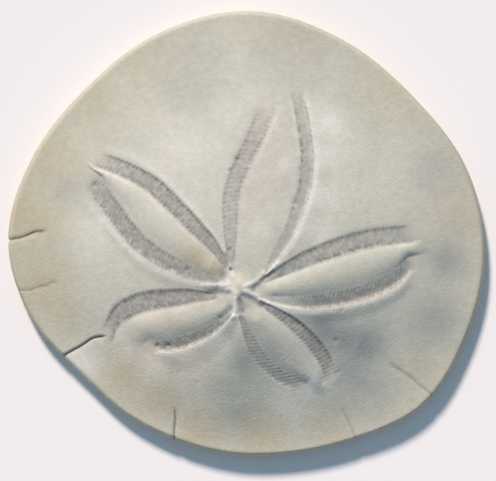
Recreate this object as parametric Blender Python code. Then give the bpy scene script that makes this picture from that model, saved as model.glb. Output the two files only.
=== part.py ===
"""Sand dollar: the dry, pale test of an eccentric sand dollar, lying on its flat underside.

The test grew as one piece, so it is one solid, "shell". Lengths here are in millimetres and angles
in degrees, counter-clockwise from +X as seen from above. +Y points towards the front petal and +Z
up. Shapes are worked out around the star, which lies behind the middle, and then moved so that the
origin is the middle of the footprint, on the surface that the shell rests on.
"""

import math

import bmesh
import bpy

MM = 0.001  # one millimetre in metres
NODE_NAME = "shell"

# Footprint: how far the margin lies from the star, every twentieth degree from +X
OUTLINE_STEP = 20
OUTLINE_REACHES = (
    39.4, 42.0, 43.5, 43.8, 45.6, 47.0, 45.3, 42.7, 41.5,
    40.1, 35.8, 30.7, 28.9, 28.0, 28.3, 29.5, 32.4, 37.1,
)

# Dome and margin
CROWN_HEIGHT = 9.9  # of the dome at the star, before the star's own boss
MARGIN_THICKNESS = 3.3
MARGIN_MIDDLE = 1.5  # height of the widest line of the margin
MARGIN_ROUND_TOP = 0.9  # how far in from the edge the upper rounding reaches
MARGIN_ROUND_BOTTOM = 2.4
DOME_FLARE = 5.2  # how late the dome levels out towards the margin, above 2
CROWN_LEAN = 0.05  # slope at the star, rising to the front

# Star
STAR_REACH = 3.2  # from its middle to where the pore grooves start
STAR_BOSS = 0.35

# Petals: the heading of each, how far its middle rises, and its right and left pore grooves. Each groove
# has its section, as breadth, depth and the height and width of the lip outside it, and its course, as
# (distance along the heading, distance across it) from the star to the tip
PETALS = (
    ("front right", 27.6, 0.5, (1.05, 0.45, 0.4, 3.0),
     ((2.7, -2.0), (6.0, -3.8), (11.0, -5.4), (16.0, -6.1), (20.0, -6.2), (24.0, -5.8), (28.6, -4.8)),
     (1.15, 0.35, 0.05, 3.0),
     ((4.0, 0.2), (6.5, 0.8), (11.0, 1.7), (16.0, 2.3), (21.0, 2.5), (25.0, 2.2), (29.7, 1.4))),
    ("front", 90.0, 0.3, (0.95, 0.4, 0.4, 4.5),
     ((3.4, -3.4), (6.5, -4.7), (10.5, -6.0), (15.0, -6.8), (19.0, -7.1), (24.0, -6.5), (33.5, -2.8)),
     (1.15, 0.35, 0.05, 3.0),
     ((3.2, 1.8), (6.0, 2.7), (10.0, 3.7), (15.0, 4.6), (20.0, 4.1), (25.0, 2.9), (30.0, 2.0))),
    ("front left", 153.2, 0.5, (1.1, 0.35, 0.16, 2.6),
     ((3.4, -1.3), (7.0, -2.6), (12.0, -3.4), (17.0, -4.0), (22.0, -4.4), (27.0, -3.6), (31.5, -2.2)),
     (1.2, 0.35, 0.25, 2.6),
     ((3.1, 1.1), (6.0, 2.5), (10.0, 3.6), (15.0, 4.5), (19.0, 4.4), (24.0, 3.3), (29.8, 1.7))),
    ("rear left", 212.1, 0.5, (1.35, 0.4, 0.05, 3.0),
     ((3.4, -0.1), (7.0, -1.3), (11.0, -2.4), (15.0, -3.3), (18.0, -3.4), (21.0, -2.7), (23.3, -0.5)),
     (1.0, 0.4, 0.4, 7.0),
     ((2.5, 3.2), (5.0, 4.4), (8.0, 5.1), (11.0, 5.3), (14.0, 5.1), (16.6, 4.3))),
    ("rear right", 319.6, 0.6, (1.0, 0.35, 0.05, 3.0),
     ((3.3, -2.3), (6.5, -3.3), (10.0, -4.2), (13.0, -4.2), (16.0, -3.4), (20.0, -1.0)),
     (0.95, 0.4, 0.05, 3.0),
     ((3.4, 1.2), (7.5, 2.8), (11.3, 3.9), (15.0, 4.3), (18.2, 4.0), (21.1, 2.6))),
)
GROOVE_HALF_WIDTHS = ((3.4, 0.25), (6.0, 0.65), (10.0, 1.1), (14.0, 1.3), (22.0, 1.45))  # by reach
GROOVE_FULL_REACH = 14.0  # from here out a groove has its full depth
GROOVE_BOTTOM = 0.5  # where across a groove it is deepest: 0 is its middle and 1 its outer edge
GROOVE_START = 0.7  # length over which a groove sinks in beside the star
GROOVE_END = 3.0  # length over which a groove rises to nothing at its tip
LIP_SPREAD = 0.35  # no lip is wider than this share of the way out from the star
MIDDLE_END = 4.0  # length over which a petal's middle sinks away past the shorter groove

# Broad hollow and ridge of the dome: a line from the star, half width and height
SWELLS = (
    (((17.5, -7.0), (21.0, -8.5)), 5.0, -0.7),
    (((-0.4, -4.0), (2.7, -18.8)), 3.6, 0.45),
)

# Underside
MOUTH_Y = 12.0  # the mouth's place in front of the star
MOUTH_RADIUS = 2.0
MOUTH_DEPTH = 1.6
FOOD_GROOVE_DEPTH = 0.35
FOOD_GROOVE_HALF_WIDTH = 0.8
FOOD_GROOVE_SPOKE = 4  # a petal's two food grooves run to where these spokes cross the margin
FOOD_GROOVE_SHARES = (0.72, 0.88)  # of the margin's reach, between which the grooves fade out
VENT_INSET = 4.0  # of the small round vent from the rear margin
VENT_RADIUS = 0.9
VENT_DEPTH = 0.8
PIT_TAPER = 0.35  # how much narrower the mouth and the vent are at their bottom
PIT_SIDES = 18

# Mesh: the spokes run from the star over the margin to the mouth, and the rings go around
PETAL_SPOKES = range(-6, 7)  # five along each groove and three between them
GROOVE_SPOKE = 4  # the spoke in the bed of a groove, counted from the petal's middle
EDGE_SPOKE = 2  # the spoke on a groove's inner edge
FAN_STEP = 3.3  # angle between a petal's spokes at the margin
GAP_SPOKES = (5, 5, 4, 12, 5)  # after each petal, up to the next one
DOME_RINGS = 27
MARGIN_RINGS_TOP = 4
MARGIN_RINGS_BOTTOM = 3
UNDERSIDE_RINGS = 11
UNDERSIDE_CROWDING = 1.6  # above 1, the rings lie closer near the mouth
ANGLE_PASSES = 5  # a spoke bends with its reach, and its reach depends on where it points

SHELL_COLOUR = (0.56, 0.54, 0.45, 1.0)
SHELL_ROUGHNESS = 0.9


def ease(share):
    """A smooth step from 0 to 1."""
    share = min(max(share, 0.0), 1.0)
    return share * share * (3 - 2 * share)


def mix(first, second, share):
    return first + (second - first) * share


def place(reach, angle):
    """(x, y), from the star, of the point this far from it at this angle."""
    return reach * math.cos(math.radians(angle)), reach * math.sin(math.radians(angle))


def on_curve(points, where):
    """The value there on the smooth curve through (where, value) points, level past its ends."""
    if where <= points[0][0]:
        return points[0][1]
    if where >= points[-1][0]:
        return points[-1][1]
    after = next(k for k, point in enumerate(points) if point[0] >= where)
    (x0, y0), (x1, y1) = points[after - 1], points[after]
    xa, ya = points[max(after - 2, 0)]
    xb, yb = points[min(after + 1, len(points) - 1)]
    span = x1 - x0
    leaving = (y1 - ya) / (x1 - xa) * span
    arriving = (yb - y0) / (xb - x0) * span
    t = (where - x0) / span
    rest = 1 - t
    return rest * rest * ((1 + 2 * t) * y0 + t * leaving) + t * t * ((3 - 2 * t) * y1 - rest * arriving)


def outline_points():
    count = len(OUTLINE_REACHES)
    return [(k * OUTLINE_STEP, OUTLINE_REACHES[k % count]) for k in range(-2, count + 3)]


OUTLINE = outline_points()


def margin_reach(angle):
    return on_curve(OUTLINE, angle % 360)


def groove_course(heading, side):
    """A groove's points as (reach from the star, angle)."""
    return [(math.hypot(along, across), heading + math.degrees(math.atan2(across, along)))
            for along, across in side]


HEADINGS = [petal[1] for petal in PETALS]
MIDDLE_RISES = [petal[2] for petal in PETALS]
SECTIONS = [(petal[3], petal[5]) for petal in PETALS]
COURSES = [(groove_course(petal[1], petal[4]), groove_course(petal[1], petal[6])) for petal in PETALS]


def half_width_angle(reach, breadth):
    return math.degrees(breadth * on_curve(GROOVE_HALF_WIDTHS, reach) / max(reach, STAR_REACH))


def petal_spoke_angle(petal, spoke, reach):
    """Where a petal's spoke points at this reach: along the grooves, and fanned out past them."""
    right, left = COURSES[petal]
    fan = HEADINGS[petal] + spoke * FAN_STEP
    widths = [half_width_angle(reach, section[0]) for section in SECTIONS[petal]]
    beds = on_curve(right, reach), on_curve(left, reach)
    if abs(spoke) >= EDGE_SPOKE:
        side = math.copysign(1, spoke)
        away = (abs(spoke) - GROOVE_SPOKE) / EDGE_SPOKE
        angle = beds[spoke > 0] + side * away * widths[spoke > 0]
        tip = (right, left)[spoke > 0][-1][0]
    else:
        share = (spoke + EDGE_SPOKE) / (2 * EDGE_SPOKE)
        angle = mix(beds[0] + widths[0], beds[1] - widths[1], share)
        tip = mix(right[-1][0], left[-1][0], share)
    gathered = ease(1 - reach / STAR_REACH)
    spread = ease((reach - tip) / (margin_reach(fan) - tip))
    return mix(angle, fan, max(gathered, spread))


def spoke_angle(spoke, reach):
    """Where a spoke points at this reach. A spoke is (petal, its number), or (petal, its number, its
    share of the way from there to the next petal's first spoke)."""
    petal, number = spoke[:2]
    angle = petal_spoke_angle(petal, number, reach)
    if len(spoke) == 2:
        return angle
    following = (petal + 1) % len(PETALS)
    beyond = petal_spoke_angle(following, PETAL_SPOKES[0], reach)
    if following == 0:
        beyond += 360
    return mix(angle, beyond, spoke[2])


def spokes():
    found = []
    for petal, gap in enumerate(GAP_SPOKES):
        found += [(petal, number) for number in PETAL_SPOKES]
        found += [(petal, PETAL_SPOKES[-1], k / (gap + 1)) for k in range(1, gap + 1)]
    return found


def food_groove_headings():
    """Which way each food groove leaves the mouth."""
    found = []
    for heading in HEADINGS:
        for spoke in (-FOOD_GROOVE_SPOKE, FOOD_GROOVE_SPOKE):
            angle = heading + spoke * FAN_STEP
            x, y = place(margin_reach(angle), angle)
            found.append(math.degrees(math.atan2(y - MOUTH_Y, x)))
    return found


def angle_between(first, second):
    return (first - second + 180) % 360 - 180


def groove_relief(side, section, course, reach, angle):
    """The sunken bed of one pore groove and the lip outside it. The side is -1 right, 1 left."""
    breadth, depth, lip_height, lip_width = section
    half_width = on_curve(GROOVE_HALF_WIDTHS, reach)
    from_bed = side * angle_between(angle, on_curve(course, reach))
    away = from_bed / half_width_angle(reach, breadth)  # 1 on the outer edge, -1 on the inner one
    fullness = min(half_width / on_curve(GROOVE_HALF_WIDTHS, GROOVE_FULL_REACH), 1)
    sunk = ease(min((away + 1) / (1 + GROOVE_BOTTOM), (1 - away) / (1 - GROOVE_BOTTOM)))
    beyond = (away - 1) * breadth * half_width / min(lip_width, LIP_SPREAD * max(reach, STAR_REACH))
    raised = ease((away - GROOVE_BOTTOM) / (1 - GROOVE_BOTTOM)) * (1 - ease(beyond))
    begun = ease((reach - course[0][0]) / GROOVE_START)
    ended = ease((reach - course[-1][0]) / GROOVE_END + 0.5)
    return (lip_height * raised - depth * fullness * sunk) * begun * (1 - ended)


def middle_relief(courses, sections, reach, angle):
    """The low ridge between the two grooves of a petal, 1 along its middle."""
    right, left = courses
    first = on_curve(right, reach) + half_width_angle(reach, sections[0][0])
    last = on_curve(left, reach) - half_width_angle(reach, sections[1][0])
    across = 2 * angle_between(angle, first) / (last - first) - 1
    if last <= first or abs(across) >= 1:
        return 0.0
    begun = ease(reach / STAR_REACH - 1)
    ended = ease((reach - min(right[-1][0], left[-1][0])) / MIDDLE_END)
    return (1 - across * across) * begun * (1 - ended)


def petal_relief(reach, angle):
    """How far the surface stands above the plain dome because of the petals."""
    height = 0.0
    for rise, sections, courses in zip(MIDDLE_RISES, SECTIONS, COURSES):
        for side, section, course in zip((-1, 1), sections, courses):
            height += groove_relief(side, section, course, reach, angle)
        height += rise * middle_relief(courses, sections, reach, angle)
    return height


def swell_relief(x, y):
    """The dome's broad hollow and ridge at this place."""
    height = 0.0
    for ((x0, y0), (x1, y1)), width, rise in SWELLS:
        length = math.hypot(x1 - x0, y1 - y0)
        t = min(max(((x - x0) * (x1 - x0) + (y - y0) * (y1 - y0)) / length ** 2, 0.0), 1.0)
        distance = math.hypot(x - mix(x0, x1, t), y - mix(y0, y1, t))
        height += rise * math.exp(-(distance / width) ** 2)
    return height


def dome_height(reach, angle):
    share = min(reach / margin_reach(angle), 1.0)
    fallen = (DOME_FLARE * share ** 2 - 2 * share ** DOME_FLARE) / (DOME_FLARE - 2)
    rise = (CROWN_HEIGHT - MARGIN_THICKNESS) * (1 - fallen)
    lean = CROWN_LEAN * reach * math.sin(math.radians(angle)) * (1 - share * share)
    return MARGIN_THICKNESS + rise + lean + STAR_BOSS * (1 - ease(reach / STAR_REACH))


def top_place(spoke, ring):
    """(x, y, z) of a point on the upper side. Ring 0 is the star, the last ring the widest line."""
    rounding = max(ring - DOME_RINGS, 0) / MARGIN_RINGS_TOP
    inset = MARGIN_ROUND_TOP * (1 - math.sin(rounding * math.pi / 2))
    share = min(ring / DOME_RINGS, 1.0)
    reach = 0.0
    angle = spoke_angle(spoke, reach)
    for _ in range(ANGLE_PASSES):
        reach = share * (margin_reach(angle) - inset)
        angle = spoke_angle(spoke, reach)
    height = dome_height(reach, angle) + petal_relief(reach, angle) + swell_relief(*place(reach, angle))
    height = mix(MARGIN_MIDDLE, height, math.cos(rounding * math.pi / 2))
    return (*place(reach, angle), height)


FOOD_GROOVE_HEADINGS = food_groove_headings()


def underside_relief(x, y):
    """How far the paired food grooves hollow out the underside at a place."""
    from_mouth = math.hypot(x, y - MOUTH_Y)
    angle = math.degrees(math.atan2(y - MOUTH_Y, x))
    groove = 0.0
    for heading in FOOD_GROOVE_HEADINGS:
        off = abs(angle_between(angle, heading))
        if off < 90:
            away = from_mouth * math.sin(math.radians(off))
            groove = max(groove, 1 - away / FOOD_GROOVE_HALF_WIDTH)
    share = math.hypot(x, y) / margin_reach(math.degrees(math.atan2(y, x)))
    first, last = FOOD_GROOVE_SHARES
    fade = ease((share - first) / (last - first))
    return FOOD_GROOVE_DEPTH * groove * (1 - fade)


def bottom_place(spoke, ring):
    """(x, y, z) of a point on the lower side. Ring 0 is the widest line, the last ring the mouth."""
    rounding = min(ring / MARGIN_RINGS_BOTTOM, 1.0)
    inset = MARGIN_ROUND_BOTTOM * (1 - math.cos(rounding * math.pi / 2))
    angle = spoke_angle(spoke, margin_reach(spoke_angle(spoke, 2 * max(OUTLINE_REACHES))))
    x, y = place(margin_reach(angle) - inset, angle)
    if ring <= MARGIN_RINGS_BOTTOM:
        return (x, y, MARGIN_MIDDLE * (1 - math.sin(rounding * math.pi / 2)))
    inward = (ring - MARGIN_RINGS_BOTTOM) / UNDERSIDE_RINGS
    share = (1 - inward) ** UNDERSIDE_CROWDING
    x, y = x * share, mix(MOUTH_Y, y, share)
    return (x, y, underside_relief(x, y))


def footprint_middle():
    """The middle of the footprint's box, from the star."""
    margin = [place(margin_reach(angle), angle) for angle in range(360)]
    return [(min(axis) + max(axis)) / 2 for axis in zip(*margin)]


def shell_mesh():
    """A sphere whose upper pole is the star and lower pole the mouth, moved point by point."""
    layout = spokes()
    top_rings = DOME_RINGS + MARGIN_RINGS_TOP
    rings = top_rings + MARGIN_RINGS_BOTTOM + UNDERSIDE_RINGS
    middle_x, middle_y = footprint_middle()
    mesh = bmesh.new()
    bmesh.ops.create_uvsphere(mesh, u_segments=len(layout), v_segments=rings, radius=1)
    for vertex in mesh.verts:
        ring = round(math.acos(max(min(vertex.co.z, 1), -1)) / math.pi * rings)
        turn = math.atan2(vertex.co.y, vertex.co.x) / (2 * math.pi)
        spoke = layout[round(turn * len(layout)) % len(layout)]
        if ring <= top_rings:
            x, y, z = top_place(spoke, ring)
        else:
            x, y, z = bottom_place(spoke, ring - top_rings)
        vertex.co = ((x - middle_x) * MM, (y - middle_y) * MM, z * MM)
    bmesh.ops.triangulate(mesh, faces=mesh.faces, quad_method="SHORT_EDGE")
    bmesh.ops.recalc_face_normals(mesh, faces=mesh.faces)
    made = bpy.data.meshes.new(NODE_NAME)
    mesh.to_mesh(made)
    mesh.free()
    made.shade_smooth()
    return made


def pit_cutter(name, y, radius, depth):
    """A tapered plug, half of it below the underside, that hollows out a round pit on the midline."""
    middle_x, middle_y = footprint_middle()
    mesh = bmesh.new()
    bmesh.ops.create_cone(
        mesh, cap_ends=True, segments=PIT_SIDES,
        radius1=radius * (1 + PIT_TAPER) * MM, radius2=radius * (1 - PIT_TAPER) * MM, depth=2 * depth * MM,
    )
    made = bpy.data.meshes.new(name)
    mesh.to_mesh(made)
    mesh.free()
    cutter = bpy.data.objects.new(name, made)
    cutter.location = (-middle_x * MM, (y - middle_y) * MM, 0)
    cutter.hide_render = True
    cutter.display_type = "WIRE"
    return cutter


def shell_material():
    material = bpy.data.materials.new("bleached_shell")
    material.use_nodes = True
    surface = material.node_tree.nodes["Principled BSDF"]
    surface.inputs["Base Color"].default_value = SHELL_COLOUR
    surface.inputs["Roughness"].default_value = SHELL_ROUGHNESS
    surface.inputs["Metallic"].default_value = 0.0
    material.diffuse_color = SHELL_COLOUR
    return material


def collection(name):
    made = bpy.data.collections.new(name)
    bpy.context.scene.collection.children.link(made)
    return made


def main():
    for item in list(bpy.data.objects):
        bpy.data.objects.remove(item, do_unlink=True)
    parts = collection("sand_dollar")
    cutters = collection("cutters")
    shell = bpy.data.objects.new(NODE_NAME, shell_mesh())
    shell.data.materials.append(shell_material())
    parts.objects.link(shell)
    for name, y, radius, depth in (
        ("mouth", MOUTH_Y, MOUTH_RADIUS, MOUTH_DEPTH),
        ("vent", VENT_INSET - margin_reach(270), VENT_RADIUS, VENT_DEPTH),
    ):
        cutter = pit_cutter(name, y, radius, depth)
        cutters.objects.link(cutter)
        hollow = shell.modifiers.new(name, "BOOLEAN")
        hollow.operation = "DIFFERENCE"
        hollow.object = cutter


main()
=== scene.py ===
import math
import bpy
import bmesh
import numpy as np
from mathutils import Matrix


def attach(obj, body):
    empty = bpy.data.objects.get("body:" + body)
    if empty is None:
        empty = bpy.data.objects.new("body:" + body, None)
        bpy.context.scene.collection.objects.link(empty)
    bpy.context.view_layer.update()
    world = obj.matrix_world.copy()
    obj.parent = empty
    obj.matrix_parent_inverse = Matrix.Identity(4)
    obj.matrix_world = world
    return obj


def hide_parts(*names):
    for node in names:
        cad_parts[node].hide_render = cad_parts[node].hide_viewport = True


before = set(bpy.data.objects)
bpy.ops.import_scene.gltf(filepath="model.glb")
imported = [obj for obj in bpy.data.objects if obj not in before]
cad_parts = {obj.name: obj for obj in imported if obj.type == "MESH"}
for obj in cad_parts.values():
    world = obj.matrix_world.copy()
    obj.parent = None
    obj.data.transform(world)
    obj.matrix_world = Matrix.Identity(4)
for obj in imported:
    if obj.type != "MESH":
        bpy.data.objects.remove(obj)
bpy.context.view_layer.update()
mm = 0.001  # one millimetre in metres

# Lengths are in millimetres and angles in degrees, counter-clockwise from +X as seen from above.
# The shell's shapes are worked out around its star and then moved to the frame's origin.


def ease(share):  # a smooth step from 0 to 1
    share = np.clip(share, 0.0, 1.0)
    return share * share * (3 - 2 * share)


def mix(first, second, share):
    return first + (second - first) * share


def bell(distance, width):  # 1 in the middle, and about a third at the width
    return np.exp(-(distance / width) ** 2)


def onCurve(points, where):  # the smooth curve through (where, value) points, level past its ends
    steps, values = np.array(points, float).T
    slopes = np.empty_like(values)
    slopes[1:-1] = (values[2:] - values[:-2]) / (steps[2:] - steps[:-2])
    slopes[0] = (values[1] - values[0]) / (steps[1] - steps[0])
    slopes[-1] = (values[-1] - values[-2]) / (steps[-1] - steps[-2])
    where = np.clip(where, steps[0], steps[-1])
    after = np.clip(np.searchsorted(steps, where), 1, len(steps) - 1)
    span = steps[after] - steps[after - 1]
    t = (where - steps[after - 1]) / span
    rest = 1 - t
    start = (1 + 2 * t) * values[after - 1] + t * slopes[after - 1] * span
    end = (3 - 2 * t) * values[after] - rest * slopes[after] * span
    return rest * rest * start + t * t * end


def angleBetween(first, second):
    return (first - second + 180) % 360 - 180


def toPolar(x, y):
    return np.hypot(x, y), np.degrees(np.arctan2(y, x))


def toPlace(reach, angle):
    return reach * np.cos(np.radians(angle)), reach * np.sin(np.radians(angle))


def addObject(name, data):
    added = bpy.data.objects.new(name, data)
    bpy.context.scene.collection.objects.link(added)
    return added


def meshFrom(made, name):
    mesh = bpy.data.meshes.new(name)
    made.to_mesh(mesh)
    made.free()
    return mesh


def addFinish(piece, name, look):  # a new material on the piece, and its shader
    material = bpy.data.materials.new(name)
    material.use_nodes = True
    piece.data.materials.append(material)
    surface = material.node_tree.nodes["Principled BSDF"]
    surface.inputs["Roughness"].default_value = look["roughness"]
    surface.inputs["Specular IOR Level"].default_value = look["specular"]
    return surface


# The shell

shell = {
    "outlineStep": 20,
    "outline": (39.4, 42.0, 43.5, 43.8, 45.6, 47.0, 45.3, 42.7, 41.5,
                40.1, 35.8, 30.7, 28.9, 28.0, 28.3, 29.5, 32.4, 37.1),
    "crownHeight": 9.9,
    "crownLean": 0.05,  # rise of the dome for each millimetre towards the front
    "domeFlare": 5.2,  # how late the dome falls on its way out
    "marginThickness": 3.3,
    "marginMiddle": 1.5,  # height of the widest line
    "roundTop": 0.9,
    "roundBottom": 2.4,
    "starReach": 3.2,
    "starBoss": 0.35,
    "halfWidths": ((3.4, 0.25), (6.0, 0.65), (10.0, 1.1), (14.0, 1.3), (22.0, 1.45)),  # of a pore groove
    "fullReach": 14.0,  # from here out a pore groove has its full depth
    "grooveBottom": 0.5,  # share of the half width where a groove is deepest, towards the outside
    "grooveStart": 0.7,
    "grooveEnd": 3.0,
    "lipSpread": 0.35,  # no lip is wider than this share of the way out from the star
    "middleEnd": 4.0,
    "leastMiddle": 0.01,  # degrees between two grooves, to divide by where they meet
    # marks of a groove, placed and measured in shares of its half width, 1 on the outer edge
    "stripeEdge": 0.75,  # where its stripes and its colour start to fade
    "stripeFade": 0.35,
    # a painted shade line inside a groove's inner edge, with no crease in the relief
    "shadeLineAt": -0.8,
    "shadeLineWidth": 0.22,
    "outerWearAt": 1.3,
    "outerWearWidth": 0.3,
    "innerWearAt": -1.2,
    "innerWearWidth": 0.22,
    "innerWear": 0.3,
    "fullLip": 0.4,  # a lip this high is worn pale
    # the underside
    "mouthY": 12.0,
    "mouthRadius": 2.0,
    "mouthDepth": 1.6,
    "foodGrooveDepth": 0.35,
    "foodGrooveWidth": 0.48,
    "foodGrooveSpoke": 4,
    "foodGrooveShares": (0.72, 0.88),  # of the way out, where the grooves fade
    "foodGrooveShade": 0.6,
    "ventInset": 4.0,
    "ventRadius": 0.9,
    "ventDepth": 0.8,
    "pitWall": (0.75, 0.45),  # start and width of a pit's wall, in shares of its radius
    # the mesh
    "grooveSteps": 14,
    "middleSteps": 14,
    "grooveSpoke": 4,
    "edgeSpoke": 2,
    "lastSpoke": 6,
    "fanStep": 3.3,
    "gapSpokes": (22, 23, 20, 68, 28),  # after each petal; the number of all spokes is a multiple of 4
    "starRings": 14,
    "petalRings": 176,
    "outerRings": 20,
    "starShare": 0.07,  # of the way to the margin, where the finely spaced rings begin
    "petalShare": 0.80,
    "roundRingsTop": 8,
    "roundRingsBottom": 6,
    "undersideRings": 34,
    "undersideCrowding": 1.6,
    "passes": 6,  # a spoke's angle depends on its reach, and its reach on its angle
    # fine relief
    "stripeDepth": 0.02,  # of the furrow that joins a pair of pores
    "poreDepth": 0.05,
    "poreRow": 0.7,  # share of a groove's half width where its two rows of pores lie
    "poreRowWidth": 0.22,
    "crackCrowding": 0.25,  # how much closer the spokes lie beside a crack
    "crackWindow": 8.0,
    "crackLead": 2.5,  # how far inside a crack's inner end the spokes start to bend
    "crackStart": 1.2,
    "crackBank": 4.0,  # how many times wider a crack's gentle side is
    "crackCore": 0.6,  # share of a crack's depth in its narrow middle
    "crackLine": 0.8,  # width of a crack's dark line beside the crack's own
}

# Each petal: its heading, how many rings lie between two stripes, how far its middle rises, and its two
# grooves. A groove has its course as (along, across), its breadth and depth, the height and width of the
# lip outside it, and how dark it is as (reach, amount); that darkness is partly the groove's own darker
# tone and partly painted shade standing in for its depth. Some have a painted shade line inside the inner
# edge, a dark line with no crease in the relief, which is strong or faint as (reach, amount).
petals = (
    # front right
    {"heading": 27.6, "stripeRings": 4, "rise": 0.5,
     "right": {"breadth": 1.05, "depth": 0.32, "lip": 0.4, "lipWidth": 3.0,
               "dark": ((3, 0.3), (9, 0.3), (12, 0.8), (30, 0.8)),
               "course": ((2.7, -2.0), (6.0, -3.8), (11.0, -5.4), (16.0, -6.1), (20.0, -6.2), (24.0, -5.8),
                          (26.5, -5.0), (28.6, -3.8))},
     "left": {"breadth": 1.15, "depth": 0.15, "lip": 0.02, "lipWidth": 3.0,
              "dark": ((3, 0.9), (14, 0.85), (30, 0.7)),
              "shadeLine": ((12, 0.0), (15, 1.0), (26, 1.0), (30, 0.0)),
              "course": ((4.0, 0.2), (6.5, 0.8), (11.0, 1.7), (16.0, 2.3), (21.0, 2.5), (25.0, 2.2),
                         (29.7, 1.4))}},
    # front
    {"heading": 90.0, "stripeRings": 4, "rise": 0.12,
     "right": {"breadth": 0.95, "depth": 0.18, "lip": 0.4, "lipWidth": 4.5,
               "dark": ((3, 0.5), (12, 0.5), (16, 0.55), (28, 0.6), (33, 0.3)),
               "shadeLine": ((14, 0.0), (17, 1.0), (29, 1.0), (33, 0.3)),
               "course": ((3.4, -3.4), (6.5, -4.7), (10.5, -6.0), (15.0, -6.8), (19.0, -7.1), (24.0, -6.5),
                          (28.0, -5.2), (33.5, -2.8))},
     "left": {"breadth": 1.15, "depth": 0.12, "lip": 0.0, "lipWidth": 3.0,
              "dark": ((3, 0.8), (10, 0.6), (20, 0.7), (26, 0.6), (31, 0.2)),
              "course": ((3.2, 1.8), (6.0, 2.7), (10.0, 3.7), (15.0, 4.6), (20.0, 4.1), (25.0, 2.9),
                         (30.0, 2.0))}},
    # front left
    {"heading": 153.2, "stripeRings": 4, "rise": 0.5,
     "right": {"breadth": 1.1, "depth": 0.12, "lip": 0.16, "lipWidth": 2.6,
               "dark": ((3, 1.0), (24, 1.0), (31, 0.7)),
               "course": ((3.4, -1.3), (7.0, -2.6), (12.0, -3.4), (17.0, -4.0), (22.0, -4.4), (27.0, -3.6),
                          (31.5, -2.2))},
     "left": {"breadth": 1.2, "depth": 0.16, "lip": 0.25, "lipWidth": 2.6,
              "dark": ((3, 0.8), (12, 0.9), (24, 1.0), (30, 0.7)),
              "course": ((3.1, 1.1), (6.0, 2.5), (10.0, 3.6), (15.0, 4.5), (19.0, 4.4), (24.0, 3.3),
                         (29.8, 1.7))}},
    # rear left
    {"heading": 212.1, "stripeRings": 5, "rise": 0.5,
     "right": {"breadth": 1.35, "depth": 0.2, "lip": 0.0, "lipWidth": 3.0,
               "dark": ((2, 1.0), (16, 1.0), (24, 0.8)),
               "course": ((3.4, -0.1), (7.0, -1.3), (11.0, -2.4), (15.0, -3.3), (18.0, -3.4), (21.0, -2.7),
                          (23.3, -0.5))},
     "left": {"breadth": 1.0, "depth": 0.28, "lip": 0.42, "lipWidth": 7.0,
              "dark": ((2, 0.8), (10, 0.9), (17, 0.8)),
              "course": ((2.5, 3.2), (5.0, 4.4), (8.0, 5.1), (11.0, 5.3), (14.0, 5.1), (16.6, 4.3))}},
    # rear right
    {"heading": 319.6, "stripeRings": 5, "rise": 0.65,
     "right": {"breadth": 1.0, "depth": 0.18, "lip": 0.0, "lipWidth": 3.0,
               "dark": ((2, 0.9), (9, 0.7), (20, 0.8)),
               "course": ((3.3, -2.3), (6.5, -3.3), (10.0, -4.2), (13.0, -4.2), (16.0, -3.5),
                          (19.2, -2.0))},
     "left": {"breadth": 0.95, "depth": 0.26, "lip": 0.0, "lipWidth": 3.0,
              "dark": ((2, 0.8), (14, 1.0), (22, 0.7)),
              "course": ((3.4, 1.2), (7.5, 2.8), (11.3, 3.9), (15.0, 4.3), (18.2, 4.2), (20.9, 3.2))}},
)

noShadeLine = ((0, 0.0), (1, 0.0))  # for the other grooves

# Cracks from the margin inward, as (x, y) from the star, with half width, depth and darkness. The side
# that slopes gently into the crack is 1 where it lies counter-clockwise of it, or -1.
cracks = (
    {"path": ((-41.5, -0.9), (-37.9, 0.5), (-36.7, 1.3), (-35.6, 2.0), (-33.5, 2.6)),
     "width": 0.2, "depth": 0.3, "dark": 0.5, "gentleSide": 1},
    {"path": ((-34.2, -7.7), (-33.4, -7.0), (-32.1, -6.4), (-30.9, -5.5), (-30.0, -5.1)),
     "width": 0.18, "depth": 0.1, "dark": 0.6, "gentleSide": -1},
    {"path": ((-29.0, -19.7), (-25.6, -16.5), (-23.9, -15.0), (-22.3, -13.4), (-21.1, -12.9),
              (-20.0, -12.5)),
     "width": 0.22, "depth": 0.36, "dark": 0.8, "gentleSide": 1},
    {"path": ((-4.9, -29.5), (-5.7, -25.5), (-5.9, -23.8), (-6.5, -21.7)),
     "width": 0.2, "depth": 0.26, "dark": 0.6, "gentleSide": 1},
    {"path": ((36.5, -11.2), (32.9, -9.4), (31.3, -8.5), (29.2, -7.7), (27.1, -6.8)),
     "width": 0.22, "depth": 0.12, "dark": 0.35, "gentleSide": -1},
    {"path": ((25.6, -22.6), (23.6, -19.2), (22.1, -17.4), (20.8, -15.8)),
     "width": 0.2, "depth": 0.16, "dark": 0.25, "gentleSide": 1},
)

# Short furrows that carry the grooves up to the star, and pale rays between them
starFurrows = (
    ((2.3, 0.5), (3.2, 1.9), (4.2, 3.0), (4.9, 3.8)),
    ((0.9, -1.0), (2.6, -1.3), (4.3, -1.9)),
    ((0.5, -1.8), (0.9, -2.6), (1.3, -3.5)),
    ((-0.8, -3.6), (-2.0, -5.3)),
    ((-1.5, -1.0), (-3.2, -1.3), (-4.8, -1.9)),
    ((-3.1, 2.5), (-2.9, 1.3)),
    ((-3.3, 4.8), (-3.0, 3.7)),
)
starRays = (
    ((-1.9, 3.5), (-2.5, 3.2), (-2.8, 2.5), (-2.3, 1.2), (-2.0, 0.3), (-3.4, -0.1), (-5.9, -0.6)),
    ((-1.5, 1.9), (-1.6, 1.8)),
    ((-1.8, -0.5), (-0.1, -0.9)),
    ((0.9, 0.7), (2.6, 1.8), (3.7, 3.7), (5.2, 5.5)),
    ((-0.2, -1.6), (0.0, -3.3), (-0.2, -4.9)),
    ((1.1, -0.1), (2.9, -0.6), (5.1, -1.2)),
)
starRelief = {"furrowWidth": 0.55, "furrowDepth": 0.2, "rayWidth": 0.5, "rayHeight": 0.14}

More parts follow.
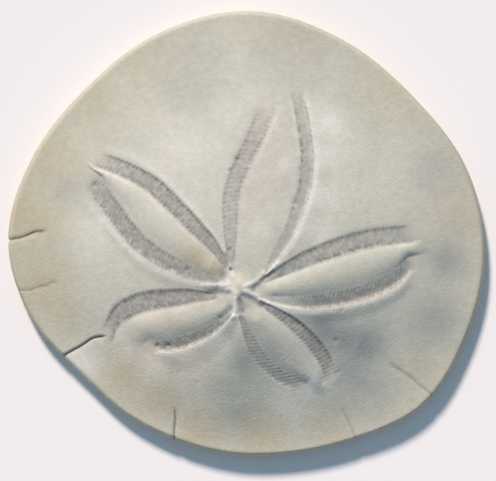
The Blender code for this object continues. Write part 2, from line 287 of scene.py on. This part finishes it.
# Small pits, as x, y, half width, depth
pits = (
    (-2.1, 2.8, 0.3, 0.3), (-2.9, 6.0, 0.35, 0.25), (6.1, 15.9, 0.4, 0.2), (-27.4, 11.9, 0.5, 0.3),
    (-9.6, -11.8, 0.45, 0.3), (-11.4, -12.3, 0.4, 0.25), (-11.7, 0.9, 0.45, 0.2), (-9.3, 1.3, 0.4, 0.15),
    (-5.0, 21.1, 0.45, 0.2), (-5.6, 19.1, 0.35, 0.15), (17.5, 0.1, 0.25, 0.1), (-3.6, -16.9, 0.25, 0.1),
    (17.6, -5.0, 0.35, 0.15), (19.2, -10.2, 0.3, 0.15),
)

# Broad ridges and hollows of the dome, as lines from the star with their half width and height
swells = (
    {"path": ((17.5, -7.0), (21.0, -8.5)), "width": 5.0, "height": -0.7},
    {"path": ((-0.4, -4.0), (1.0, -12.0), (2.7, -18.8)), "width": 3.6, "height": 0.45},
)

# Stains of each colour, as x, y, half width, strength. The grey ones are partly grey staining and partly
# painted shade.
stains = {
    "tan": ((-38.0, 4.0, 7.0, 1.0), (-33.0, -6.0, 6.0, 0.9), (-28.0, -10.0, 4.0, 0.8),
            (-36.0, 14.0, 7.0, 0.7), (-31.0, 25.0, 6.0, 0.4), (-23.0, 34.0, 7.0, 0.4),
            (-15.5, -18.5, 4.0, 1.0), (-9.7, -21.0, 4.0, 1.0), (-1.4, -25.0, 4.0, 0.9),
            (8.8, -23.5, 4.5, 0.9), (20.0, -20.0, 4.0, 0.6), (33.0, 20.0, 5.0, 0.7),
            (0.0, 44.0, 6.0, 0.4), (18.0, 39.0, 6.0, 0.5), (33.0, -6.0, 3.0, 0.5)),
    "brown": ((-13.2, -11.4, 2.0, 0.4), (-7.6, -8.9, 1.6, 0.4), (-8.5, 3.4, 3.0, 0.9),
              (-3.8, 2.8, 2.0, 0.9), (-3.6, 23.2, 2.0, 0.35), (-2.6, 16.6, 1.8, 0.35),
              (-5.5, -2.2, 2.0, 0.6), (-9.5, 4.6, 3.0, 0.5)),
    "blush": ((-1.6, 29.0, 3.0, 0.7), (-1.2, 24.0, 4.0, 0.8), (-0.8, 19.0, 4.2, 0.8),
              (-1.8, 14.5, 3.2, 0.6), (-3.6, 9.0, 2.4, 0.5), (-12.0, -10.0, 3.0, 0.6),
              (-9.0, -6.5, 2.5, 0.5), (29.0, 20.0, 4.0, 0.5)),
    # partly painted shade: the grey patches in the hollow between the two right petals, behind the star and
    # along the right margin darken where the dome lies in shade
    "greyAndShade": ((15.5, -3.6, 3.0, 0.8), (19.3, -4.8, 3.5, 0.8), (23.0, -5.0, 4.0, 0.8),
             (22.6, -10.0, 4.5, 0.7), (33.5, 2.0, 5.0, 0.6), (33.0, 12.0, 3.5, 0.8),
             (33.5, 17.3, 3.0, 0.3), (7.8, -8.2, 2.6, 0.4), (3.1, -11.8, 2.4, 0.5),
             (28.0, 27.0, 5.0, 0.35), (1.0, -17.0, 2.2, 0.3), (-32.4, 9.6, 3.0, 0.4),
             (-27.0, 11.0, 3.0, 0.4), (-14.0, 32.0, 8.0, 0.35), (0.0, 39.0, 9.0, 0.3)),
    "pale": ((8.4, 30.0, 3.2, 0.8), (9.4, 25.0, 2.6, 0.8), (10.2, 18.0, 2.6, 0.9),
             (10.0, 12.5, 3.0, 0.6), (-23.0, -17.8, 3.0, 0.7), (7.0, -0.8, 2.4, 0.6),
             (12.0, -17.0, 3.4, 0.5), (15.7, -12.8, 2.4, 0.7), (1.5, 10.4, 1.8, 0.5),
             (3.0, 22.0, 1.6, 0.4), (0.4, -5.5, 1.5, 0.8), (-1.6, -9.3, 2.2, 0.7),
             (-13.0, 21.0, 6.0, 0.35), (-8.0, 29.0, 4.0, 0.3), (-26.0, 4.0, 4.0, 0.3)),
    "sand": ((-18.3, -11.4, 2.6, 0.8), (-13.6, -7.8, 2.6, 0.7), (-11.0, -15.0, 3.2, 0.9),
             (-5.7, -13.7, 3.6, 0.9), (-8.6, -6.2, 2.4, 0.4), (-16.0, -14.0, 3.0, 0.5)),
    "cream": ((-0.8, 1.1, 1.7, 0.9), (-2.1, 2.6, 0.9, 0.7)),
    "olive": ((0.2, 0.0, 0.9, 0.8), (-4.6, 2.4, 1.4, 0.6)),
}


def outlineReach(angle):  # the outline goes more than once around, so that the curve joins up
    count = len(shell["outline"])
    points = [(k * shell["outlineStep"], shell["outline"][k % count]) for k in range(-2, count + 3)]
    return onCurve(points, angle % 360)


def readCourses(petal):  # adds each groove's bed as (reach, angle), and which way its outer edge lies
    for side, turn in (("right", -1), ("left", 1)):
        reach, angle = toPolar(*np.array(petal[side]["course"]).T)
        petal[side]["bed"] = list(zip(reach, petal["heading"] + angle))
        petal[side]["turn"] = turn


def bedAngles(groove, reach):  # where the groove's bed lies at this reach, and half its width as an angle
    halfWidth = groove["breadth"] * onCurve(shell["halfWidths"], reach)
    return onCurve(groove["bed"], reach), np.degrees(halfWidth / np.maximum(reach, shell["starReach"]))


def petalAngle(petal, number, reach):  # where a petal's spoke points at this reach
    fan = petal["heading"] + number * shell["fanStep"]
    rightBed, rightWidth = bedAngles(petal["right"], reach)
    leftBed, leftWidth = bedAngles(petal["left"], reach)
    rightTip, leftTip = (petal[side]["bed"][-1][0] for side in ("right", "left"))
    away = (np.abs(number) - shell["grooveSpoke"]) / shell["edgeSpoke"]
    beside = np.where(number > 0, leftBed + away * leftWidth, rightBed - away * rightWidth)
    share = (number + shell["edgeSpoke"]) / (2 * shell["edgeSpoke"])
    between = mix(rightBed + rightWidth, leftBed - leftWidth, share)
    outer = np.abs(number) >= shell["edgeSpoke"]
    angle = np.where(outer, beside, between)
    tip = np.where(outer, np.where(number > 0, leftTip, rightTip), mix(rightTip, leftTip, share))
    gathered = ease(1 - reach / shell["starReach"])
    spread = ease((reach - tip) / (outlineReach(fan) - tip))
    return mix(angle, fan, np.maximum(gathered, spread))


def crackCourse(crack):
    reach, angle = toPolar(*np.array(crack["path"]).T)
    return sorted(zip(reach, angle % 360))


def gatherAtCracks(angle, reach):  # brings spokes together beside each crack and bends them along it
    for crack in cracks:
        course = crackCourse(crack)
        middle = (course[0][1] + course[-1][1]) / 2
        off = angleBetween(angle, middle)
        slide = angleBetween(onCurve(course, reach), middle)
        present = ease((reach - course[0][0] + shell["crackLead"]) / shell["crackLead"])
        far = ease(np.abs(off) / shell["crackWindow"])
        angle = angle + present * (off * (shell["crackCrowding"] - 1) + slide) * (1 - far)
    return angle


def spokeAngles(reach):  # the angle of every spoke at each of its points
    last = shell["lastSpoke"]
    edge = shell["edgeSpoke"]
    numbers = np.concatenate((
        np.linspace(-last, -edge, shell["grooveSteps"] + 1),
        np.linspace(-edge, edge, shell["middleSteps"] + 1)[1:],
        np.linspace(edge, last, shell["grooveSteps"] + 1)[1:],
    ))[:, None]
    angle = np.empty_like(reach)
    row = 0
    for k, petal in enumerate(petals):
        rows = slice(row, row + len(numbers))
        angle[rows] = petalAngle(petal, numbers, reach[rows])
        row = rows.stop
        gap = shell["gapSpokes"][k]
        rows = slice(row, row + gap)
        following = petals[(k + 1) % len(petals)]
        beyond = petalAngle(following, -last, reach[rows]) + (360 if k + 1 == len(petals) else 0)
        shares = np.arange(1, gap + 1)[:, None] / (gap + 1)
        angle[rows] = mix(petalAngle(petal, last, reach[rows]), beyond, shares)
        row = rows.stop
    return gatherAtCracks(angle, reach)


def fromPath(path, x, y):  # distance from a bent line through these points
    nearest = np.full(x.shape, np.inf)
    for (x0, y0), (x1, y1) in zip(path[:-1], path[1:]):
        length = math.hypot(x1 - x0, y1 - y0)
        alongX, alongY = (x1 - x0) / length, (y1 - y0) / length
        t = np.clip((x - x0) * alongX + (y - y0) * alongY, 0, length)
        nearest = np.minimum(nearest, np.hypot(x - x0 - t * alongX, y - y0 - t * alongY))
    return nearest


def alongPaths(paths, width, x, y):  # 1 on any of the lines, fading beside them
    return np.maximum.reduce([bell(fromPath(path, x, y), width) for path in paths])


def stainAmount(places, x, y):
    amount = np.zeros(x.shape)
    for stainX, stainY, width, strength in places:
        amount = np.maximum(amount, strength * bell(np.hypot(x - stainX, y - stainY), width))
    return amount


def grooveRelief(groove, stripeRings, reach, angle, ring):  # height and marks that one groove adds
    halfWidth = onCurve(shell["halfWidths"], reach)
    bedAngle, widthAngle = bedAngles(groove, reach)
    away = groove["turn"] * angleBetween(angle, bedAngle) / widthAngle  # in half widths, outwards
    full = np.minimum(halfWidth / onCurve(shell["halfWidths"], shell["fullReach"]), 1)
    begun = ease((reach - groove["bed"][0][0]) / shell["grooveStart"])
    ended = ease((reach - groove["bed"][-1][0]) / shell["grooveEnd"] + 0.5)  # centred on the tip
    here = begun * (1 - ended)
    bottom = shell["grooveBottom"]
    bed = ease(np.minimum((away + 1) / (1 + bottom), (1 - away) / (1 - bottom)))
    beyond = (away - 1) * groove["breadth"] * halfWidth
    lipWidth = np.minimum(groove["lipWidth"], shell["lipSpread"] * reach)
    lip = ease((away - bottom) / (1 - bottom)) * (1 - ease(beyond / lipWidth))
    furrow = 0.5 + 0.5 * np.cos(2 * math.pi * ring / stripeRings)
    rows = bell(np.abs(away) - shell["poreRow"], shell["poreRowWidth"])
    inside = 1 - ease((np.abs(away) - shell["stripeEdge"]) / shell["stripeFade"])
    height = groove["lip"] * lip - groove["depth"] * full * bed
    height -= shell["stripeDepth"] * full * furrow * inside
    height -= shell["poreDepth"] * full * furrow ** 2 * rows
    # the groove's darkness: partly its own tone, partly painted shade for its depth
    dark = onCurve(groove["dark"], reach)
    # painted shade: a dark line inside the inner edge, where the relief has no crease
    shadeLine = onCurve(groove.get("shadeLine", noShadeLine), reach)
    shadeLine *= bell(away - shell["shadeLineAt"], shell["shadeLineWidth"])
    outerEdge = bell(away - shell["outerWearAt"], shell["outerWearWidth"])
    outerEdge *= np.minimum(groove["lip"] / shell["fullLip"], 1)
    innerEdge = shell["innerWear"] * bell(away - shell["innerWearAt"], shell["innerWearWidth"])
    return {
        "height": height * here,
        "groove": inside * here * dark,
        "pore": np.maximum(furrow * rows * full * dark, shadeLine) * here,
        "worn": (outerEdge + innerEdge) * here * full,
    }


def middleRelief(petal, reach, angle):  # the low ridge between a petal's two grooves
    rightBed, rightWidth = bedAngles(petal["right"], reach)
    leftBed, leftWidth = bedAngles(petal["left"], reach)
    first, final = rightBed + rightWidth, leftBed - leftWidth
    across = 2 * angleBetween(angle, first) / np.maximum(final - first, shell["leastMiddle"]) - 1
    inside = (final > first) & (np.abs(across) < 1)
    begun = ease(reach / shell["starReach"] - 1)
    tip = min(petal[side]["bed"][-1][0] for side in ("right", "left"))
    ended = ease((reach - tip) / shell["middleEnd"])
    return np.where(inside, (1 - across * across) * begun * (1 - ended), 0.0)


def topSide(reach, angle, ring):  # height and marks of the upper side
    x, y = toPlace(reach, angle)
    share = np.minimum(reach / outlineReach(angle), 1.0)
    thickness = shell["marginThickness"]
    star = 1 - ease(reach / shell["starReach"])
    flare = shell["domeFlare"]
    fallen = (flare * share ** 2 - 2 * share ** flare) / (flare - 2)
    height = thickness + (shell["crownHeight"] - thickness) * (1 - fallen)
    height += shell["crownLean"] * y * (1 - share * share) + shell["starBoss"] * star
    marks = {name: np.zeros(reach.shape) for name in ("groove", "pore", "worn")}
    for petal in petals:
        for side in ("right", "left"):
            relief = grooveRelief(petal[side], petal["stripeRings"], reach, angle, ring)
            height += relief.pop("height")
            for name, amount in relief.items():
                marks[name] = np.maximum(marks[name], amount)
        height += petal["rise"] * middleRelief(petal, reach, angle)
    for swell in swells:
        height += swell["height"] * bell(fromPath(swell["path"], x, y), swell["width"])
    rays = alongPaths(starRays, starRelief["rayWidth"], x, y)
    furrows = alongPaths(starFurrows, starRelief["furrowWidth"], x, y)
    height += starRelief["rayHeight"] * rays - starRelief["furrowDepth"] * furrows
    marks["ray"] = rays
    marks["groove"] = np.maximum(marks["groove"], furrows)
    # each pit is darkened with painted shade as well as dented
    for pitX, pitY, width, depth in pits:
        amount = bell(np.hypot(x - pitX, y - pitY), width)
        height -= depth * amount
        marks["pore"] = np.maximum(marks["pore"], amount)
    marks["crack"] = np.zeros(reach.shape)
    notch = np.zeros(reach.shape)
    for crack in cracks:
        course = crackCourse(crack)
        away = np.radians(angleBetween(angle, onCurve(course, reach))) * reach
        begun = ease((reach - course[0][0]) / shell["crackStart"])
        gentle = np.where(away * crack["gentleSide"] > 0, shell["crackBank"], 1.0)
        width = crack["width"]
        sunk = mix(bell(away, gentle * width), bell(away, width), shell["crackCore"])
        notch = np.maximum(notch, crack["depth"] * begun * sunk)
        line = bell(away, shell["crackLine"] * width)
        marks["crack"] = np.maximum(marks["crack"], crack["dark"] * begun * line)
    marks["share"] = share
    for name, places in stains.items():
        marks[name] = stainAmount(places, x, y)
    return height, notch, marks


def foodGrooves(x, y):  # pairs of straight grooves from the mouth towards the petals' own grooves
    fromMouth, angle = toPolar(x, y - shell["mouthY"])
    depth = np.zeros(x.shape)
    for petal in petals:
        for spoke in (-shell["foodGrooveSpoke"], shell["foodGrooveSpoke"]):
            heading = petal["heading"] + spoke * shell["fanStep"]
            endX, endY = toPlace(outlineReach(np.array(heading)), heading)
            course = math.degrees(math.atan2(endY - shell["mouthY"], endX))
            off = np.abs(angleBetween(angle, course))
            away = fromMouth * np.sin(np.radians(np.minimum(off, 90)))
            depth = np.maximum(depth, np.where(off < 90, bell(away, shell["foodGrooveWidth"]), 0))
    reach, around = toPolar(x, y)
    first, last = shell["foodGrooveShares"]
    fade = ease((reach / outlineReach(around) - first) / (last - first))
    return depth * (1 - fade)


def pitDepth(distance, radius):  # a round pit with steep walls
    start, width = shell["pitWall"]
    return 1 - ease((distance / radius - start) / width)


def underSide(x, y):  # height and marks of the lower side
    ventY = shell["ventInset"] - outlineReach(np.array(270.0))
    mouth = pitDepth(np.hypot(x, y - shell["mouthY"]), shell["mouthRadius"])
    vent = pitDepth(np.hypot(x, y - ventY), shell["ventRadius"])
    grooves = foodGrooves(x, y)
    height = shell["foodGrooveDepth"] * grooves * (1 - mouth)
    height += shell["mouthDepth"] * mouth + shell["ventDepth"] * vent
    # the mouth and vent are darkened with painted shade
    return height, {"pore": np.maximum(mouth, vent), "groove": shell["foodGrooveShade"] * grooves}


def topPoints(spokeCount):  # the upper side, from the star to the widest line
    shares = np.concatenate((
        np.linspace(0, shell["starShare"], shell["starRings"] + 1),
        np.linspace(shell["starShare"], shell["petalShare"], shell["petalRings"] + 1)[1:],
        np.linspace(shell["petalShare"], 1, shell["outerRings"] + 1)[1:],
        np.ones(shell["roundRingsTop"]),
    ))
    domeRings = shell["starRings"] + shell["petalRings"] + shell["outerRings"]
    ring = np.arange(len(shares))[None, :]
    rounding = np.maximum(ring - domeRings, 0) / shell["roundRingsTop"] * math.pi / 2
    inset = shell["roundTop"] * (1 - np.sin(rounding))
    reach = np.zeros((spokeCount, len(shares)))
    angle = spokeAngles(reach)
    for _ in range(shell["passes"]):
        reach = shares[None, :] * (outlineReach(angle) - inset)
        angle = spokeAngles(reach)
    height, notch, marks = topSide(reach, angle, ring - shell["starRings"])
    height = mix(shell["marginMiddle"], height - notch, np.cos(rounding))
    x, y = toPlace(reach - notch * np.sin(rounding), angle)
    return (x, y, height), marks, angle[:, -1:], notch[:, -1:]


def lowPoints(topMarks, outward, notch):  # the lower side, from the widest line to the mouth
    ring = np.arange(1, shell["roundRingsBottom"] + shell["undersideRings"] + 1)[None, :]
    rounding = np.minimum(ring / shell["roundRingsBottom"], 1.0) * math.pi / 2
    inward = np.maximum(ring - shell["roundRingsBottom"], 0) / shell["undersideRings"]
    nearMouth = (1 - inward) ** shell["undersideCrowding"]
    inset = shell["roundBottom"] * (1 - np.cos(rounding))
    startX, startY = toPlace(outlineReach(outward) - inset - notch * np.cos(rounding), outward)
    x, y = startX * nearMouth, mix(shell["mouthY"], startY, nearMouth)
    height, marks = underSide(x, y)
    height = height * (inward > 0) + shell["marginMiddle"] * (1 - np.sin(rounding))
    reach, angle = toPolar(x, y)
    marks["share"] = reach / outlineReach(angle)
    for name in ("crack", "tan"):  # these two go on around the edge
        marks[name] = topMarks[name][:, -1:] * np.cos(rounding)
    return (x, y, height), marks


def makeShell():
    for petal in petals:
        readCourses(petal)
    petalSpokes = 2 * shell["grooveSteps"] + shell["middleSteps"] + 1
    spokeCount = len(petals) * petalSpokes + sum(shell["gapSpokes"])
    top, marks, outward, notch = topPoints(spokeCount)
    low, lowMarks = lowPoints(marks, outward, notch)
    points = np.stack([np.hstack(both) for both in zip(top, low)], axis=2)
    ringCount = points.shape[1] - 1
    edge = np.array([toPlace(outlineReach(turn), turn) for turn in np.arange(360.0)])
    middle = (edge.min(axis=0) + edge.max(axis=0)) / 2

    # a sphere whose upper pole is the star and lower pole the mouth, moved point by point; its spokes start
    # at +X only if their number is a multiple of 4
    made = bmesh.new()
    bmesh.ops.create_uvsphere(made, u_segments=spokeCount, v_segments=ringCount, radius=1)
    bmesh.ops.recalc_face_normals(made, faces=made.faces)
    mesh = meshFrom(made, "shellSurface")
    ball = np.empty(len(mesh.vertices) * 3)
    mesh.vertices.foreach_get("co", ball)
    ballX, ballY, ballZ = ball.reshape(-1, 3).T
    ringOf = np.rint(np.arccos(np.clip(ballZ, -1, 1)) / math.pi * ringCount).astype(int)
    spokeOf = np.rint(np.arctan2(ballY, ballX) / (2 * math.pi) * spokeCount).astype(int) % spokeCount
    placed = points[spokeOf, ringOf]
    placed[:, :2] -= middle
    mesh.vertices.foreach_set("co", (placed * mm).ravel())
    for name, upper in marks.items():
        lower = lowMarks.get(name, np.zeros(low[0].shape))
        values = np.hstack((upper, lower))[spokeOf, ringOf]
        layer = mesh.attributes.new(name + "Mark", "FLOAT", "POINT")
        layer.data.foreach_set("value", values.astype(np.float32))
    mesh.shade_smooth()
    mesh.update()
    print("shell:", len(mesh.vertices), "points,", 2 * spokeCount * (ringCount - 1), "triangles")
    return addObject("shellPiece", mesh)


# The shell's finish

class Wire:  # one output of a node; sums with it add Math nodes
    def __init__(self, socket):
        self.socket = socket

    def node(self, kind, settings, inputs, output=0):
        return makeNode(self.socket.id_data, kind, settings, inputs, output)

    def maths(self, operation, *values):
        return self.node("ShaderNodeMath", {"operation": operation}, dict(enumerate(values)))

    def __add__(self, other):
        return self.maths("ADD", self, other)

    def __radd__(self, other):
        return self.maths("ADD", other, self)

    def __sub__(self, other):
        return self.maths("SUBTRACT", self, other)

    def __rsub__(self, other):
        return self.maths("SUBTRACT", other, self)

    def __mul__(self, other):
        return self.maths("MULTIPLY", self, other)

    def __rmul__(self, other):
        return self.maths("MULTIPLY", other, self)

    def clipped(self):
        return self.node("ShaderNodeClamp", {}, {"Value": self})

    def rising(self, start, slope):  # 0 up to the start, then up to 1
        return ((self - start) * slope).clipped()

    def ranging(self, least, more):  # from the least amount up
        return least + more * self


def makeNode(tree, kind, settings, inputs, output=0):
    made = tree.nodes.new(kind)
    for name, value in settings.items():
        setattr(made, name, value)
    for name, value in inputs.items():
        if isinstance(value, Wire):
            tree.links.new(value.socket, made.inputs[name])
        else:
            made.inputs[name].default_value = value
    return Wire(made.outputs[output])


chalk = {
    "plain": (0.61, 0.595, 0.485, 1),
    "shadedPatch": (0.53, 0.53, 0.44, 1),
    "margin": (0.52, 0.48, 0.36, 1),
    # painted shade along the rounded edge
    "rimShade": (0.47, 0.45, 0.36, 1),
    "tan": (0.54, 0.485, 0.34, 1),
    "brown": (0.46, 0.40, 0.29, 1),
    "blush": (0.61, 0.555, 0.48, 1),
    "sand": (0.78, 0.70, 0.56, 1),
    # grey staining, and painted shade in the hollows and on the side away from the light
    "greyAndShade": (0.33, 0.35, 0.33, 1),
    "pale": (0.78, 0.75, 0.66, 1),
    "cream": (0.74, 0.70, 0.57, 1),
    "olive": (0.52, 0.51, 0.36, 1),
    # the grooves' own darker tone, partly painted shade for their depth; also in the star's furrows and the
    # food grooves
    "groove": (0.335, 0.32, 0.29, 1),
    # painted shade inside the pores, pits, mouth and vent, and along the shade lines
    "pore": (0.10, 0.095, 0.075, 1),
    "crack": (0.12, 0.105, 0.08, 1),
    "worn": (0.82, 0.80, 0.73, 1),
    "roughness": 0.92,
    "specular": 0.2,
    # textures, each with its scale per metre and its detail
    "patches": (130.0, 3.0),
    "speckle": (900.0, 4.0),
    "mottle": (1300.0, 2.0),
    "grain": (7000.0, 2.0),
    "tubercleScale": 2300.0,
    "tubercleSmoothness": 0.4,
    # where something starts, and how steeply it rises
    "patchRise": (0.42, 3.0),
    "marginRise": (0.74, 4.0),
    "rimShadeRise": (0.97, 35.0),
    "blotchRise": (0.375, 4.0),
    # the least amount, and how much more a texture adds
    "stainRange": (0.55, 0.9),
    "wornRange": (0.35, 0.9),
    "grooveRange": (0.6, 0.45),
    "shadeRange": (0.86, 0.28),
    # how strong each is
    "marginAmount": 0.4,
    "rimShadeAmount": 0.5,
    "poreAmount": 0.45,
    "rayWear": 0.8,
    "grainHeight": 0.3,  # beside a tubercle's
    "bumpStrength": 0.6,
    "tubercleHeight": 0.00005,
}


def finishShell(piece):
    surface = addFinish(piece, "chalkyShell", chalk)
    tree = surface.id_data

    def node(kind, settings, inputs, output=0):
        return makeNode(tree, kind, settings, inputs, output)

    def mark(name):
        return node("ShaderNodeAttribute", {"attribute_name": name + "Mark"}, {}, "Fac")

    def noise(name):
        scale, detail = chalk[name]
        return node("ShaderNodeTexNoise", {}, {"Vector": place, "Scale": scale, "Detail": detail})

    def colourMix(first, second, amount, blend="MIX"):  # sockets by number, as their names repeat
        settings = {"data_type": "RGBA", "blend_type": blend}
        return node("ShaderNodeMix", settings, {0: amount, 6: first, 7: second}, 2)

    place = node("ShaderNodeTexCoord", {}, {}, "Object")
    patches = noise("patches")
    speckle = noise("speckle")
    tubercles = node("ShaderNodeTexVoronoi", {"feature": "SMOOTH_F1"}, {
        "Vector": place, "Scale": chalk["tubercleScale"], "Smoothness": chalk["tubercleSmoothness"]})

    colour = colourMix(chalk["plain"], chalk["shadedPatch"], patches.rising(*chalk["patchRise"]))
    # the margin's tone, then painted shade darkening the rounded edge all around
    for name in ("margin", "rimShade"):
        amount = mark("share").rising(*chalk[name + "Rise"]) * chalk[name + "Amount"]
        colour = colourMix(colour, chalk[name], amount)
    uneven = patches.ranging(*chalk["stainRange"])
    # the grey patches paint shade as well as grey staining
    for name in ("tan", "brown", "blush", "greyAndShade", "sand", "pale"):
        colour = colourMix(colour, chalk[name], (mark(name) * uneven).clipped())
    for name in ("cream", "olive"):
        colour = colourMix(colour, chalk[name], mark(name))
    worn = (mark("worn") + chalk["rayWear"] * mark("ray")) * speckle.ranging(*chalk["wornRange"])
    colour = colourMix(colour, chalk["worn"], worn.clipped())
    blotches = noise("mottle").rising(*chalk["blotchRise"])
    # groove colour, partly painted shade for the grooves' depth
    groove = mark("groove") * blotches.ranging(*chalk["grooveRange"])
    colour = colourMix(colour, chalk["groove"], groove.clipped())
    # painted shade in the pores, pits, mouth, vent and shade lines
    colour = colourMix(colour, chalk["pore"], mark("pore") * blotches * chalk["poreAmount"])
    colour = colourMix(colour, chalk["crack"], mark("crack"))
    shade = speckle.ranging(*chalk["shadeRange"])
    shade = node("ShaderNodeCombineColor", {}, {0: shade, 1: shade, 2: shade})
    colour = colourMix(colour, shade, 1.0, "MULTIPLY")

    smooth = 1 - mark("groove").clipped()
    relief = (1 - tubercles) * smooth + chalk["grainHeight"] * noise("grain")
    bump = node("ShaderNodeBump", {}, {
        "Height": relief, "Strength": chalk["bumpStrength"], "Distance": chalk["tubercleHeight"]})
    tree.links.new(colour.socket, surface.inputs["Base Color"])
    tree.links.new(bump.socket, surface.inputs["Normal"])


shellPiece = makeShell()
finishShell(shellPiece)
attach(shellPiece, "root")
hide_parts("shell")
print("shell finished")

# Floor, light and camera

floorLook = {
    "side": 3.0,
    "below": 0.00005,  # so that it doesn't touch the shell
    "colour": (0.97, 0.93, 0.89, 1),
    "roughness": 1.0,
    "specular": 0.0,
}
lights = {
    "sunColour": (1.0, 0.885, 0.845),
    "sunStrength": 3.85,
    "sunAngle": 10.0,
    "sunHeading": 122.0,  # where the light comes from, in the frame
    "sunElevation": 36.0,
    "skyColour": (0.185, 0.265, 0.355, 1),
}
cameraLook = {"x": -0.11, "y": -1.14, "height": 500.0, "lens": 213.5, "turn": 12.2, "farthest": 10.0}


def makeFloor():
    made = bmesh.new()
    bmesh.ops.create_grid(made, x_segments=1, y_segments=1, size=floorLook["side"] / 2)
    floor = addObject("floor", meshFrom(made, "floorSurface"))
    floor.location.z = -floorLook["below"]
    surface = addFinish(floor, "paleFloor", floorLook)
    surface.inputs["Base Color"].default_value = floorLook["colour"]
    return floor


def makeLights():
    lamp = bpy.data.lights.new("windowLight", "SUN")
    lamp.energy = lights["sunStrength"]
    lamp.color = lights["sunColour"]
    lamp.angle = math.radians(lights["sunAngle"])
    sun = addObject("windowLight", lamp)
    sun.rotation_euler = (0, math.radians(90 - lights["sunElevation"]), math.radians(lights["sunHeading"]))
    world = bpy.data.worlds.new("softSky")
    world.use_nodes = True
    sky = world.node_tree.nodes["Background"]
    sky.inputs["Color"].default_value = lights["skyColour"]
    bpy.context.scene.world = world


def makeCamera():
    view = bpy.data.cameras.new("cameraAbove")
    view.lens = cameraLook["lens"]
    view.clip_end = cameraLook["farthest"]
    camera = addObject("cameraAbove", view)
    camera.location = [cameraLook[side] * mm for side in ("x", "y", "height")]
    camera.rotation_euler = (0, 0, math.radians(cameraLook["turn"]))
    bpy.context.scene.camera = camera


makeFloor()
makeLights()
makeCamera()
bpy.context.scene.view_settings.view_transform = "Standard"
print("floor, light and camera placed")
